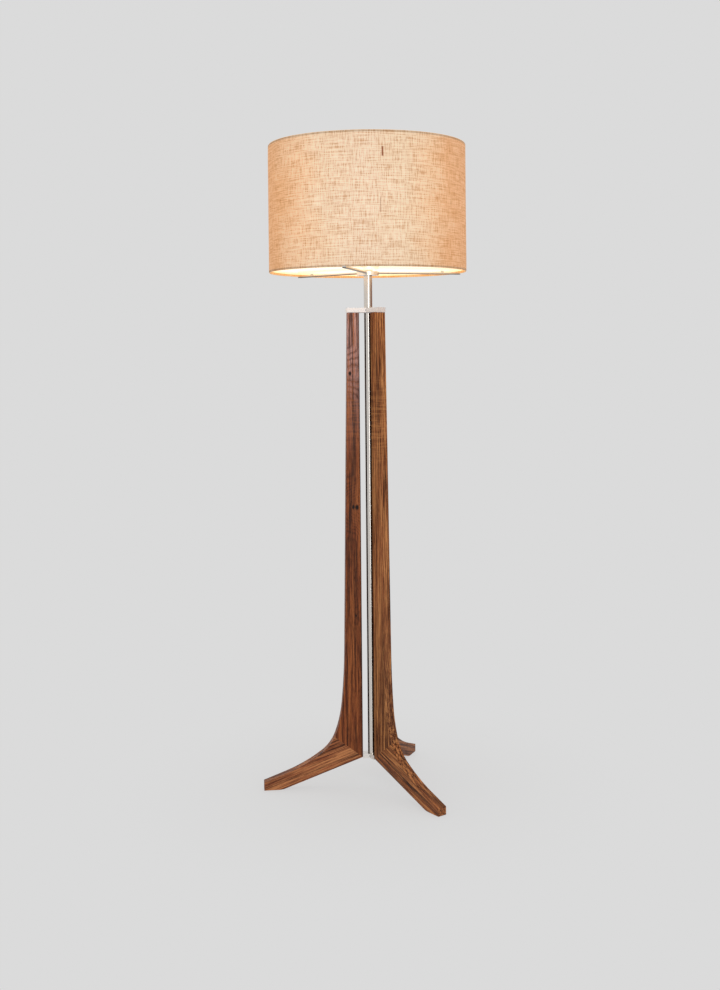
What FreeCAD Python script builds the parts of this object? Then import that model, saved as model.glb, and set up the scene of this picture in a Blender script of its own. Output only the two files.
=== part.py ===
"""Tripod floor lamp: three mitred walnut legs around a metal tube, a drum shade on a three-arm spider.

Row frame in millimetres: +Z up, origin on the floor under the tube's axis. One leg points along -X.
Heights in the sheet are above the floor, radii are from the tube's axis.
"""
import FreeCAD, Part
import math
import os
import Sketcher
from FreeCAD import Placement, Rotation, Vector

doc = FreeCAD.newDocument("tripod_floor_lamp")
dims = doc.addObject("Spreadsheet::Sheet", "dims")

DIMENSIONS = {
    # legs: a side outline of corners, each rounded by its own bend
    "leg_thickness": 25.4,
    "leg_inner_radius": 25.0,
    "leg_inner_height": 74.5,
    "leg_top_height": 1215.5,
    "leg_top_radius": 55.2,
    "taper_radius": 69.8,
    "taper_height": 282.0,
    "taper_bend": 1550.0,
    "shin_radius": 80.4,
    "shin_height": 173.5,
    "shin_bend": 290.0,
    "instep_radius": 105.3,
    "instep_height": 107.0,
    "instep_bend": 100.0,
    "arch_radius": 176.3,
    "arch_height": 58.1,
    "arch_bend": 400.0,
    "toe_radius": 278.3,
    "toe_height": 21.0,
    "heel_radius": 232.0,
    "heel_bend": 60.0,
    "sole_height": 1.0,
    "edge_round": 1.0,
    "mitre_rise": 0.7536,
    # loose wooden splines across each mitre
    "spline_thickness": 5.0,
    "spline_inner_radius": 50.0,
    "spline_outer_radius": 80.0,
    "spline_depth": 12.0,
    # how far a cut runs past the face it starts from
    "overcut": 2.0,
    # glides under the feet
    "glide_place_radius": 256.0,
    "glide_radius": 8.0,
    "glide_depth": 2.0,
    # tube
    "tube_radius": 11.0,
    "tube_bore": 9.0,
    "cord_bush_bore": 4.5,
    "cord_bush_length": 9.0,
    "top_bush_length": 14.0,
    # lower hub plate, with a tongue let into each leg
    "base_plate_bottom": 71.0,
    "base_plate_top": 82.0,
    "tongue_width": 12.0,
    "tongue_bottom": 76.0,
    "tongue_radius": 47.0,
    "leg_screw_place": 37.0,
    "leg_screw_radius": 2.5,
    "leg_screw_head": 4.5,
    "leg_screw_bottom": 68.4,
    "leg_screw_shoulder": 72.6,
    # cap plate on the leg tops
    "cap_thickness": 13.0,
    "cap_radius": 56.8,
    "cap_chamfer": 1.4,
    "cap_screw_inner": 31.0,
    "cap_screw_outer": 46.0,
    "cap_screw_radius": 2.2,
    "cap_screw_head": 4.0,
    "cap_screw_sink": 4.5,
    "cap_screw_length": 45.0,
    "cap_screw_recess": 0.5,
    "screw_tip_gap": 1.0,
    "screw_key_across": 4.0,
    "screw_key_depth": 2.2,
    "grub_radius": 2.0,
    "grub_recess": 0.4,
    "notch_radius": 14.66,
    # spider
    "arm_azimuth": 10.3,
    "spider_bottom": 1312.0,
    "spider_radius": 28.5,
    "arm_bottom": 1316.4,
    "arm_top": 1321.5,
    "arm_width": 9.5,
    "arm_root": 17.0,
    "arm_screw_place": 22.5,
    "arm_screw_radius": 1.5,
    "arm_screw_head": 2.8,
    "arm_screw_head_height": 1.8,
    "arm_screw_length": 3.0,
    "arm_key_across": 2.0,
    "arm_key_depth": 1.0,
    # shade
    "shade_radius": 254.0,
    "shade_bottom": 1319.2,
    "shade_top": 1645.2,
    "fabric_thickness": 0.8,
    "liner_thickness": 0.6,
    "ring_wire": 1.6,
    "running_gap": 0.3,
    "ring_gap": 0.05,
    # diffuser
    "diffuser_radius": 248.0,
    "diffuser_bottom": 1324.8,
    "diffuser_thickness": 3.0,
    "pad_place": 205.0,
    "pad_radius": 4.0,
    "spacer_radius": 13.0,
    "washer_radius": 12.0,
    "washer_thickness": 1.5,
    "nut_across": 14.9,
    "nut_height": 5.0,
    # lampholder, its riser and switch
    "riser_radius": 5.0,
    "riser_bore": 3.4,
    "riser_bottom": 1300.0,
    "riser_top": 1379.0,
    "holder_bottom": 1374.0,
    "holder_joint": 1394.0,
    "holder_top": 1434.0,
    "holder_radius": 18.0,
    "holder_wall": 0.8,
    "holder_corner": 6.0,
    "holder_liner": 1.2,
    "liner_step": 1.0,
    "contact_radius": 4.0,
    "contact_height": 2.0,
    "sleeve_wall": 0.5,
    "sleeve_step": 3.0,
    "knob_height": 1386.0,
    "knob_inner": 20.0,
    "knob_outer": 34.0,
    "knob_radius": 6.0,
    "knob_chamfer": 1.0,
    "knob_boss": 4.0,
    "knob_grip": 1.8,
    "stem_radius": 1.6,
    "stem_hole": 1.65,
    "stem_reach": 4.0,
    # bulb
    "cap_bottom": 1407.5,
    "bulb_tip_radius": 6.0,
    "bulb_tip_height": 5.0,
    "bulb_cap_radius": 13.0,
    "bulb_cap_top": 1434.5,
    "bulb_collar_top": 1466.0,
    "bulb_collar_radius": 24.0,
    "bulb_radius": 30.0,
    "bulb_shoulder": 14.0,
    "bulb_crown": 28.0,
    "bulb_top": 1520.0,
}
for number, (alias, length) in enumerate(DIMENSIONS.items(), start=1):
    dims.set(f"A{number}", alias)
    dims.set(f"B{number}", str(length))
    dims.setAlias(f"B{number}", alias)
doc.recompute()

LEG_AZIMUTHS = {"left": 180.0, "right": 300.0, "back": 60.0}
ARM_NAMES = ("front", "right", "back")
THIRD_TURN = 120.0
NOTCH_AZIMUTH = 240.0
SWITCH_AZIMUTH = "270"
UP = Vector(0, 0, 1)
parts = []


# ---- helpers: bodies, sketches and features bound to the sheet ----

size_reader = doc.addObject("App::FeaturePython", "size_reader")


def size(expression):
    """The value of an expression of sheet cells."""
    return float(size_reader.evalExpression(expression))


def new_body(name, azimuth="0"):
    """A PartDesign body that becomes the sub-part of that name, turned about the lamp's axis."""
    body = doc.addObject("PartDesign::Body", name)
    body.Label = name
    body.AllowCompound = True
    body.Placement = Placement(Vector(), Rotation(UP, size(azimuth)))
    parts.append(body)
    return body


def origin_feature(body, role):
    return next(f for f in body.Origin.OriginFeatures if f.Role == role)


def hold(sketch, line, direction, expression):
    """Fixes the first end of a sketch line along X or Y, bound to the sheet."""
    if expression == "0":
        axis = -2 if direction == "X" else -1
        sketch.addConstraint(Sketcher.Constraint("PointOnObject", line, 1, axis))
        return
    kind = "Distance" + direction
    index = sketch.addConstraint(Sketcher.Constraint(kind, -1, 1, line, 1, size(expression)))
    name = f"corner_{line}_{direction}"
    sketch.renameConstraint(index, name)
    sketch.setExpression("Constraints." + name, expression)


def new_sketch(body, plane, offset=None):
    sketch = body.newObject("Sketcher::SketchObject", body.Name + "_sketch")
    sketch.AttachmentSupport = [(origin_feature(body, plane), "")]
    sketch.MapMode = "FlatFace"
    for coordinate, expression in (offset or {}).items():
        place = Placement(sketch.AttachmentOffset)
        setattr(place.Base, coordinate, size(expression))
        sketch.AttachmentOffset = place
        sketch.setExpression("AttachmentOffset.Base." + coordinate, expression)
    return sketch


def polygon(body, corners, plane="XZ_Plane", offset=None):
    """A closed outline of straight lines whose corners are pairs of sheet expressions."""
    sketch = new_sketch(body, plane, offset)
    points = [Vector(size(x), size(y), 0) for x, y in corners]
    for start, end in zip(points, points[1:] + points[:1]):
        sketch.addGeometry(Part.LineSegment(start, end), False)
    for line in range(len(points)):
        after = (line + 1) % len(points)
        sketch.addConstraint(Sketcher.Constraint("Coincident", line, 2, after, 1))
    for line, (x, y) in enumerate(corners):
        hold(sketch, line, "X", x)
        hold(sketch, line, "Y", y)
    return sketch


def towards(start, end, distance):
    return start + (end - start).normalize() * distance


def rounded_polygon(body, corners, bends, plane="XZ_Plane"):
    """A closed outline whose corners with a bend are rounded by a tangent arc of that radius.

    The sharp outline stays in the sketch as construction lines, which the real lines lie on.
    """
    sketch = polygon(body, corners, plane)
    count = len(corners)
    sharp = [Vector(size(x), size(y), 0) for x, y in corners]
    ends = []
    arcs = {}
    for i, bend in enumerate(bends):
        before, corner, after = sharp[i - 1], sharp[i], sharp[(i + 1) % count]
        if bend is None:
            ends.append((corner, corner))
            continue
        radius = size(bend)
        turn = (corner - before).getAngle(after - corner)
        cut_back = radius * math.tan(turn / 2)
        start, end = towards(corner, before, cut_back), towards(corner, after, cut_back)
        centre = towards(corner, (start + end) / 2, radius / math.cos(turn / 2))
        ends.append((start, end))
        arcs[i] = (start, towards(centre, corner, radius), end)
    for line in range(count):
        sketch.setConstruction(line, True)
        sketch.addGeometry(Part.LineSegment(ends[line][1], ends[(line + 1) % count][0]), False)
    for i, bend in enumerate(bends):
        arriving, leaving = count + (i - 1) % count, count + i
        if bend is None:
            sketch.addConstraint(Sketcher.Constraint("Coincident", arriving, 2, i, 1))
            sketch.addConstraint(Sketcher.Constraint("Coincident", leaving, 1, i, 1))
            continue
        arc = sketch.addGeometry(Part.Arc(*arcs[i]), False)
        starts_here = sketch.getPoint(arc, 1).isEqual(ends[i][0], 0.001)
        first, second = (1, 2) if starts_here else (2, 1)
        sketch.addConstraint(Sketcher.Constraint("PointOnObject", arriving, 2, (i - 1) % count))
        sketch.addConstraint(Sketcher.Constraint("PointOnObject", leaving, 1, i))
        sketch.addConstraint(Sketcher.Constraint("Tangent", arriving, 2, arc, first))
        sketch.addConstraint(Sketcher.Constraint("Tangent", leaving, 1, arc, second))
        index = sketch.addConstraint(Sketcher.Constraint("Radius", arc, size(bend)))
        sketch.renameConstraint(index, f"bend_{i}")
        sketch.setExpression(f"Constraints.bend_{i}", bend)
    return sketch


def hexagon(body, across, place="0", offset=None):
    """A regular hexagon of the given width between flats, centred on the XY plane's X axis."""
    sketch = new_sketch(body, "XY_Plane", offset)
    centre = Vector(size(place), 0, 0)
    corner = Vector(size(across) / math.sqrt(3), 0, 0)
    points = [centre + Rotation(UP, 60 * i).multVec(corner) for i in range(6)]
    for start, end in zip(points, points[1:] + points[:1]):
        sketch.addGeometry(Part.LineSegment(start, end), False)
    for line in range(6):
        sketch.addConstraint(Sketcher.Constraint("Coincident", line, 2, (line + 1) % 6, 1))
        sketch.addConstraint(Sketcher.Constraint("Block", line))
    return sketch


def rectangle(body, left, right, bottom, top, plane="XZ_Plane", offset=None):
    corners = [(left, bottom), (right, bottom), (right, top), (left, top)]
    return polygon(body, corners, plane, offset)


def circle(body, radius, place="0", plane="XY_Plane", offset=None):
    """A circle on the plane's X axis, at a distance from the origin."""
    sketch = new_sketch(body, plane, offset)
    sketch.addGeometry(Part.Circle(Vector(size(place), 0, 0), UP, size(radius)), False)
    sketch.addConstraint(Sketcher.Constraint("PointOnObject", 0, 3, -1))
    if place == "0":
        sketch.addConstraint(Sketcher.Constraint("PointOnObject", 0, 3, -2))
    else:
        index = sketch.addConstraint(Sketcher.Constraint("DistanceX", -1, 1, 0, 3, size(place)))
        sketch.renameConstraint(index, "place")
        sketch.setExpression("Constraints.place", place)
    index = sketch.addConstraint(Sketcher.Constraint("Radius", 0, size(radius)))
    sketch.renameConstraint(index, "radius")
    sketch.setExpression("Constraints.radius", radius)
    return sketch


def feature(body, kind, sketch, **values):
    made = body.newObject("PartDesign::" + kind, body.Name + "_" + kind.lower())
    made.Profile = sketch
    for name, value in values.items():
        if isinstance(value, str) and name in ("Length", "Angle"):
            made.setExpression(name, value)
        else:
            setattr(made, name, value)
    return made


def pad(body, sketch, length, **values):
    return feature(body, "Pad", sketch, Length=length, **values)


def pocket(body, sketch, **values):
    """Cuts the sketch through the body, and stops if nothing was cut."""
    doc.recompute()
    before = body.Shape.Volume
    made = feature(body, "Pocket", sketch, **values)
    doc.recompute()
    if not body.Shape.Volume < before:
        raise ValueError(body.Name + ": a pocket cuts nothing")
    return made


def revolve(body, corners, offset=None, axis="V_Axis"):
    sketch = polygon(body, corners, offset=offset)
    return feature(body, "Revolution", sketch, ReferenceAxis=(sketch, [axis]), Angle=360.0)


def turned(name, corners, azimuth="0", offset=None, axis="V_Axis"):
    """A body turned about an upright axis from a half outline of (radius, height) corners."""
    body = new_body(name, azimuth)
    revolve(body, corners, offset, axis)
    return body


def tube_corners(inner, outer, bottom, top):
    return [(inner, bottom), (outer, bottom), (outer, top), (inner, top)]


def around(body, *originals):
    """Repeats features three times about the lamp's axis."""
    pattern = body.newObject("PartDesign::PolarPattern", body.Name + "_pattern")
    pattern.Originals = list(originals)
    pattern.Axis = (origin_feature(body, "Z_Axis"), [""])
    pattern.Angle = 360.0
    pattern.Occurrences = 3
    body.Tip = pattern
    doc.recompute()
    return pattern


def edge_names(shape, wanted):
    return [f"Edge{i}" for i, edge in enumerate(shape.Edges, start=1) if wanted(edge)]


def rounding(body, base, kind, wanted, expression):
    """Rounds or chamfers the edges of a feature that pass a test."""
    doc.recompute()
    made = body.newObject("PartDesign::" + kind, body.Name + "_" + kind.lower())
    made.Base = (base, edge_names(base.Shape, wanted))
    made.setExpression("Radius" if kind == "Fillet" else "Size", expression)
    doc.recompute()
    return made


def near(a, b, gap=0.01):
    return abs(a - b) < gap


# ---- legs ----

INNER = "dims.leg_inner_radius"
FLOOR_SIDE = "dims.sole_height"
LEG_OUTLINE = [
    (INNER, "dims.leg_inner_height", None),
    (INNER, "dims.leg_top_height", None),
    ("dims.leg_top_radius", "dims.leg_top_height", None),
    ("dims.taper_radius", "dims.taper_height", "dims.taper_bend"),
    ("dims.shin_radius", "dims.shin_height", "dims.shin_bend"),
    ("dims.instep_radius", "dims.instep_height", "dims.instep_bend"),
    ("dims.arch_radius", "dims.arch_height", "dims.arch_bend"),
    ("dims.toe_radius", "dims.toe_height", None),
    ("dims.toe_radius", FLOOR_SIDE, None),
    ("dims.heel_radius", FLOOR_SIDE, "dims.heel_bend"),
]


def mitre_height(radius):
    """The height of the mitre plane, which rises outwards from the leg's inner bottom corner."""
    return f"dims.leg_inner_height + ({radius} - {INNER}) * dims.mitre_rise"


def leg_blank(body, eased_inner_face):
    """The whole leg's outline, padded to its thickness, with its long edges eased.

    Of the two lines that meet at the mitre's inner end, only the one that the member keeps is eased.
    """
    corners = [(x, y) for x, y, bend in LEG_OUTLINE]
    outline = rounded_polygon(body, corners, [bend for x, y, bend in LEG_OUTLINE])
    blank = pad(body, outline, "dims.leg_thickness", SideType="Symmetric")
    half = size("dims.leg_thickness / 2")
    top = size("dims.leg_top_height")
    inner, inner_end = size(INNER), size("dims.leg_inner_height")

    def long_side(edge):
        on_side = all(near(abs(v.Y), half) for v in edge.Vertexes)
        across = near(edge.Vertexes[0].Y, -edge.Vertexes[-1].Y)
        at_top = all(near(v.Z, top) for v in edge.Vertexes)
        on_inner_face = all(near(v.X, inner) for v in edge.Vertexes)
        underside = any(near(v.Z, inner_end) for v in edge.Vertexes) and not on_inner_face
        left_sharp = underside if eased_inner_face else on_inner_face
        return on_side and not across and not at_top and not left_sharp

    return rounding(body, blank, "Fillet", long_side, "dims.edge_round")


def cut_mitre(body, far_height):
    """Removes the leg on one side of the mitre plane, up to a far height."""
    near_edge = f"{INNER} - dims.overcut"
    far_edge = "dims.toe_radius + dims.overcut"
    corners = [
        (near_edge, mitre_height(near_edge)),
        (far_edge, mitre_height(far_edge)),
        (far_edge, far_height),
        (near_edge, far_height),
    ]
    pocket(body, polygon(body, corners), Type="ThroughAll", SideType="Symmetric")


def spline_corners():
    """A slat that lies along the mitre plane and reaches the spline's depth each side of it."""
    inner, outer = "dims.spline_inner_radius", "dims.spline_outer_radius"
    depth = "dims.spline_depth"
    return [
        (inner, f"{mitre_height(inner)} - {depth}"),
        (outer, f"{mitre_height(outer)} - {depth}"),
        (outer, f"{mitre_height(outer)} + {depth}"),
        (inner, f"{mitre_height(inner)} + {depth}"),
    ]


def cut_spline_slot(body):
    """The blind slot across the mitre that holds a loose spline."""
    pocket(body, polygon(body, spline_corners()), Length="dims.spline_thickness", SideType="Symmetric")


def cut_tongue_mortise(body):
    """The mortise in the leg's inner face that takes the base plate's tongue."""
    mortise = rectangle(body, f"{INNER} - dims.overcut", "dims.tongue_radius",
                        "dims.tongue_bottom", "dims.base_plate_top")
    pocket(body, mortise, Length="dims.tongue_width", SideType="Symmetric")


def leg_upright(side, azimuth):
    body = new_body(f"leg_upright_{side}", str(azimuth))
    leg_blank(body, eased_inner_face=True)
    cut_mitre(body, f"{FLOOR_SIDE} - dims.overcut")
    cut_spline_slot(body)
    cut_tongue_mortise(body)
    for place in ("dims.cap_screw_inner", "dims.cap_screw_outer"):
        top = {"z": "dims.leg_top_height"}
        hole = circle(body, "dims.cap_screw_radius", place, offset=top)
        pocket(body, hole, Length="dims.cap_screw_length")


def leg_foot(side, azimuth):
    body = new_body(f"leg_foot_{side}", str(azimuth))
    leg_blank(body, eased_inner_face=False)
    cut_mitre(body, "dims.leg_top_height + dims.overcut")
    cut_spline_slot(body)
    cut_tongue_mortise(body)
    under = {"z": "dims.leg_screw_bottom - dims.overcut"}
    for radius, length in (
        ("dims.leg_screw_radius", "dims.tongue_bottom - dims.leg_screw_bottom + 2 * dims.overcut"),
        ("dims.leg_screw_head", "dims.leg_screw_shoulder - dims.leg_screw_bottom + dims.overcut"),
    ):
        hole = circle(body, radius, "dims.leg_screw_place", offset=under)
        pocket(body, hole, Length=length, Reversed=True)
    sole = {"z": FLOOR_SIDE}
    recess = circle(body, "dims.glide_radius", "dims.glide_place_radius", offset=sole)
    pocket(body, recess, Length="dims.glide_depth", Reversed=True)


for side, azimuth in LEG_AZIMUTHS.items():
    leg_upright(side, azimuth)
    leg_foot(side, azimuth)

splines = new_body("mitre_splines", "180")
slat = pad(splines, polygon(splines, spline_corners()), "dims.spline_thickness", SideType="Symmetric")
around(splines, slat)

glides = new_body("foot_glides", "180")
disc = pad(glides, circle(glides, "dims.glide_radius", "dims.glide_place_radius"),
           f"{FLOOR_SIDE} + dims.glide_depth")
around(glides, disc)


# ---- base plate, cap plate and their screws ----

def three_wings(name, radius, bottom, thickness):
    """A plate with three wings as wide as the legs, one over each leg, and a bore for the tube."""
    body = new_body(name, "180")
    half = "dims.leg_thickness / 2"
    wing = rectangle(body, "0", radius, f"-{half}", half, plane="XY_Plane", offset={"z": bottom})
    around(body, pad(body, wing, thickness))
    return body


def bore_for_tube(body):
    pocket(body, circle(body, "dims.tube_radius"), Type="ThroughAll", SideType="Symmetric")


def cut_grub_hole(name, plate, height):
    """Cuts the grub screw's hole through the wall of the plate's front notch."""
    tool = doc.addObject("Part::Cylinder", name + "_grub_tool")
    tool.setExpression("Radius", "dims.grub_radius")
    tool.setExpression("Height", "dims.notch_radius + dims.overcut")
    outwards = Rotation(UP, NOTCH_AZIMUTH) * Rotation(Vector(0, 1, 0), 90)
    tool.Placement = Placement(Vector(0, 0, size(height)), outwards)
    tool.setExpression("Placement.Base.z", height)
    cut = doc.addObject("Part::Cut", name)
    cut.Label = name
    cut.Base = plate
    cut.Tool = tool
    parts.remove(plate)
    parts.append(cut)


base_blank = three_wings("base_plate_blank", INNER, "dims.base_plate_bottom",
                         "dims.base_plate_top - dims.base_plate_bottom")
tongue = rectangle(base_blank, "0", "dims.tongue_radius", "-dims.tongue_width / 2", "dims.tongue_width / 2",
                   plane="XY_Plane", offset={"z": "dims.tongue_bottom"})
around(base_blank, pad(base_blank, tongue, "dims.base_plate_top - dims.tongue_bottom"))
bore_for_tube(base_blank)
thread = circle(base_blank, "dims.leg_screw_radius", "dims.leg_screw_place",
                offset={"z": "dims.base_plate_top"})
around(base_blank, pocket(base_blank, thread, Length="dims.base_plate_top - dims.tongue_bottom"))
cut_grub_hole("base_plate", base_blank, "(dims.base_plate_bottom + dims.base_plate_top) / 2")

cap_bottom = "dims.leg_top_height"
cap_top = "dims.leg_top_height + dims.cap_thickness"
cap_blank = three_wings("cap_plate_blank", "dims.cap_radius", cap_bottom, "dims.cap_thickness")
low = size(cap_bottom)


def wing_rim(edge):
    """Tests for the plate's lower outline, which is chamfered."""
    return all(near(v.Z, low) for v in edge.Vertexes)


rounding(cap_blank, cap_blank.Tip, "Chamfer", wing_rim, "dims.cap_chamfer")
bore_for_tube(cap_blank)
for place in ("dims.cap_screw_inner", "dims.cap_screw_outer"):
    shank = circle(cap_blank, "dims.cap_screw_radius", place, offset={"z": cap_top})
    shank_hole = pocket(cap_blank, shank, Length="dims.cap_thickness")
    around(cap_blank, shank_hole)
    head = circle(cap_blank, "dims.cap_screw_head", place, offset={"z": cap_top})
    around(cap_blank, pocket(cap_blank, head, Length="dims.cap_screw_sink"))
cut_grub_hole("cap_plate", cap_blank, f"{cap_bottom} + dims.cap_thickness / 2")


def screw_corners(shank, head, tip, shoulder, end):
    """Half outline of a cap screw, from its tip to the end of its head."""
    return [("0", tip), (shank, tip), (shank, shoulder), (head, shoulder), (head, end), ("0", end)]


def hex_socket(body, place, end, across, depth, opens_down=False):
    """A hexagonal key socket in a screw's head, across the given width between flats."""
    return pocket(body, hexagon(body, across, place, {"z": end}), Length=depth, Reversed=opens_down)


cap_screws = new_body("cap_screws", "180")
tip = "dims.leg_top_height - dims.cap_screw_length + dims.screw_tip_gap"
shoulder = f"{cap_top} - dims.cap_screw_sink"
end = f"{cap_top} - dims.cap_screw_recess"
for place in ("dims.cap_screw_inner", "dims.cap_screw_outer"):
    corners = screw_corners("dims.cap_screw_radius", "dims.cap_screw_head", tip, shoulder, end)
    around(cap_screws, revolve(cap_screws, corners, {"x": place}))
    around(cap_screws, hex_socket(cap_screws, place, end, "dims.screw_key_across", "dims.screw_key_depth"))

leg_screws = new_body("leg_screws", "180")
corners = screw_corners("dims.leg_screw_radius", "dims.leg_screw_head", "dims.base_plate_top",
                        "dims.leg_screw_shoulder", "dims.leg_screw_bottom")
around(leg_screws, revolve(leg_screws, corners, {"x": "dims.leg_screw_place"}))
around(leg_screws, hex_socket(leg_screws, "dims.leg_screw_place", "dims.leg_screw_bottom",
                              "dims.screw_key_across", "dims.screw_key_depth", opens_down=True))


def grub_screw(name, height):
    """A set screw from the plate's notch to the tube."""
    body = new_body(name, str(NOTCH_AZIMUTH))
    outer = "dims.notch_radius - dims.grub_recess"
    corners = [("dims.tube_radius", "0"), (outer, "0"), (outer, "dims.grub_radius"),
               ("dims.tube_radius", "dims.grub_radius")]
    revolve(body, corners, {"y": height}, axis="H_Axis")


grub_screw("base_grub_screw", "(dims.base_plate_bottom + dims.base_plate_top) / 2")
grub_screw("cap_grub_screw", f"{cap_bottom} + dims.cap_thickness / 2")


# ---- tube, its bushes, and the spider ----

turned("tube", tube_corners("dims.tube_bore", "dims.tube_radius",
                            "dims.base_plate_bottom", "dims.spider_bottom"))
turned("cord_bush", tube_corners("dims.cord_bush_bore", "dims.tube_bore", "dims.base_plate_bottom",
                                 "dims.base_plate_bottom + dims.cord_bush_length"))
turned("tube_top_bush", tube_corners("dims.riser_radius", "dims.tube_bore",
                                     "dims.spider_bottom - dims.top_bush_length", "dims.spider_bottom"))

hub = turned("spider_hub", tube_corners("dims.riser_radius", "dims.spider_radius",
                                        "dims.spider_bottom", "dims.arm_top"), azimuth="dims.arm_azimuth")
half_arm = "dims.arm_width / 2"
slot = rectangle(hub, "dims.arm_root", "dims.spider_radius + dims.overcut", f"-{half_arm}", half_arm,
                 plane="XY_Plane", offset={"z": "dims.arm_top"})
around(hub, pocket(hub, slot, Length="dims.arm_top - dims.arm_bottom"))
screw_hole = circle(hub, "dims.arm_screw_radius", "dims.arm_screw_place", offset={"z": "dims.arm_bottom"})
around(hub, pocket(hub, screw_hole, Length="dims.arm_screw_length"))

for number, arm_name in enumerate(ARM_NAMES):
    arm = new_body(f"spider_arm_{arm_name}", f"dims.arm_azimuth + {THIRD_TURN} * {number - 1}")
    bar = rectangle(arm, "dims.arm_root", "dims.shade_radius", f"-{half_arm}", half_arm,
                    plane="XY_Plane", offset={"z": "dims.arm_bottom"})
    pad(arm, bar, "dims.arm_top - dims.arm_bottom")
    through = circle(arm, "dims.arm_screw_radius", "dims.arm_screw_place", offset={"z": "dims.arm_top"})
    pocket(arm, through, Length="dims.arm_top - dims.arm_bottom")

arm_screws = new_body("arm_screws", "dims.arm_azimuth")
head_top = "dims.arm_top + dims.arm_screw_head_height"
corners = screw_corners("dims.arm_screw_radius", "dims.arm_screw_head",
                        "dims.arm_bottom - dims.arm_screw_length", "dims.arm_top", head_top)
around(arm_screws, revolve(arm_screws, corners, {"x": "dims.arm_screw_place"}))
around(arm_screws, hex_socket(arm_screws, "dims.arm_screw_place", head_top,
                              "dims.arm_key_across", "dims.arm_key_depth"))

pads = new_body("diffuser_pads", "dims.arm_azimuth")
dot = pad(pads, circle(pads, "dims.pad_radius", "dims.pad_place", offset={"z": "dims.arm_top"}),
          "dims.diffuser_bottom - dims.arm_top")
around(pads, dot)

diffuser_top = "dims.diffuser_bottom + dims.diffuser_thickness"
turned("diffuser_spacer", tube_corners("dims.riser_radius", "dims.spacer_radius",
                                       "dims.arm_top", "dims.diffuser_bottom"))
turned("diffuser", tube_corners("dims.riser_radius", "dims.diffuser_radius",
                                "dims.diffuser_bottom", diffuser_top))


# ---- riser, lampholder, switch and bulb ----

turned("riser", tube_corners("dims.riser_bore", "dims.riser_radius", "dims.riser_bottom", "dims.riser_top"))
washer_top = f"{diffuser_top} + dims.washer_thickness"
turned("riser_washer", tube_corners("dims.riser_radius", "dims.washer_radius", diffuser_top, washer_top))

nut = new_body("riser_nut")
pad(nut, hexagon(nut, "dims.nut_across", offset={"z": washer_top}), "dims.nut_height")
pocket(nut, circle(nut, "dims.riser_radius"), Type="ThroughAll", SideType="Symmetric")

wall = "dims.holder_wall"
shell = "dims.holder_radius"
bevel = "dims.holder_corner"
joint_height = "dims.holder_joint"
cup = turned("lampholder_cup", [
    ("dims.riser_radius", "dims.holder_bottom"),
    (f"{shell} - {bevel}", "dims.holder_bottom"),
    (shell, f"dims.holder_bottom + {bevel}"),
    (shell, joint_height),
    (f"{shell} - {wall}", joint_height),
    (f"{shell} - {wall}", f"dims.holder_bottom + {bevel} + {wall}"),
    (f"{shell} - {bevel} - {wall}", f"dims.holder_bottom + 2 * {wall}"),
    ("dims.riser_radius", f"dims.holder_bottom + 2 * {wall}"),
], azimuth=SWITCH_AZIMUTH)
stem_hole = circle(cup, "dims.stem_hole", plane="YZ_Plane", offset={"y": "dims.knob_height"})
pocket(cup, stem_hole, Type="ThroughAll", Reversed=True)

turned("lampholder_shell", tube_corners(f"{shell} - {wall}", shell, joint_height, "dims.holder_top"))
core_radius = f"{shell} - {wall} - dims.holder_liner"
core_top = "dims.cap_bottom - dims.contact_height"
turned("lampholder_liner", tube_corners(core_radius, f"{shell} - {wall}",
                                        joint_height, "dims.holder_top - dims.liner_step"))
turned("lampholder_core", [("0", joint_height), (core_radius, joint_height),
                           (core_radius, core_top), ("0", core_top)])
turned("centre_contact", [("0", core_top), ("dims.contact_radius", core_top),
                          ("dims.contact_radius", "dims.cap_bottom"), ("0", "dims.cap_bottom")])
turned("screw_sleeve", tube_corners("dims.bulb_cap_radius", "dims.bulb_cap_radius + dims.sleeve_wall",
                                    core_top, "dims.holder_top - dims.sleeve_step"))

knob = new_body("switch_knob", SWITCH_AZIMUTH)
stem_end = "dims.holder_radius - dims.stem_reach"
knob_turning = [
    (stem_end, "0"),
    ("dims.knob_outer", "0"),
    ("dims.knob_outer", "dims.knob_radius - dims.knob_chamfer"),
    ("dims.knob_outer - dims.knob_chamfer", "dims.knob_radius"),
    ("dims.knob_inner", "dims.knob_radius"),
    ("dims.knob_inner", "dims.stem_radius"),
    (stem_end, "dims.stem_radius"),
]
revolve(knob, knob_turning, {"y": "dims.knob_height"}, axis="H_Axis")
for lower, upper in (
    ("dims.knob_grip", "dims.knob_radius + dims.overcut"),
    ("-dims.knob_radius - dims.overcut", "-dims.knob_grip"),
):
    flat = rectangle(knob, "dims.knob_inner + dims.knob_boss", "dims.knob_outer + dims.overcut",
                     lower, upper, offset={"y": "dims.knob_height"})
    pocket(knob, flat, Type="ThroughAll", SideType="Symmetric")

turned("bulb_cap", [("0", "dims.cap_bottom"), ("dims.bulb_tip_radius", "dims.cap_bottom"),
                    ("dims.bulb_cap_radius", "dims.cap_bottom + dims.bulb_tip_height"),
                    ("dims.bulb_cap_radius", "dims.bulb_cap_top"), ("0", "dims.bulb_cap_top")])
turned("bulb_collar", [("0", "dims.bulb_cap_top"), ("dims.bulb_cap_radius", "dims.bulb_cap_top"),
                       ("dims.bulb_collar_radius", "dims.bulb_collar_top"), ("0", "dims.bulb_collar_top")])
globe = turned("bulb_globe", [
    ("0", "dims.bulb_collar_top"),
    ("dims.bulb_collar_radius", "dims.bulb_collar_top"),
    ("dims.bulb_radius", "dims.bulb_collar_top + dims.bulb_shoulder"),
    ("dims.bulb_radius", "dims.bulb_top"),
    ("0", "dims.bulb_top"),
])
crown_height = size("dims.bulb_top")


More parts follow.
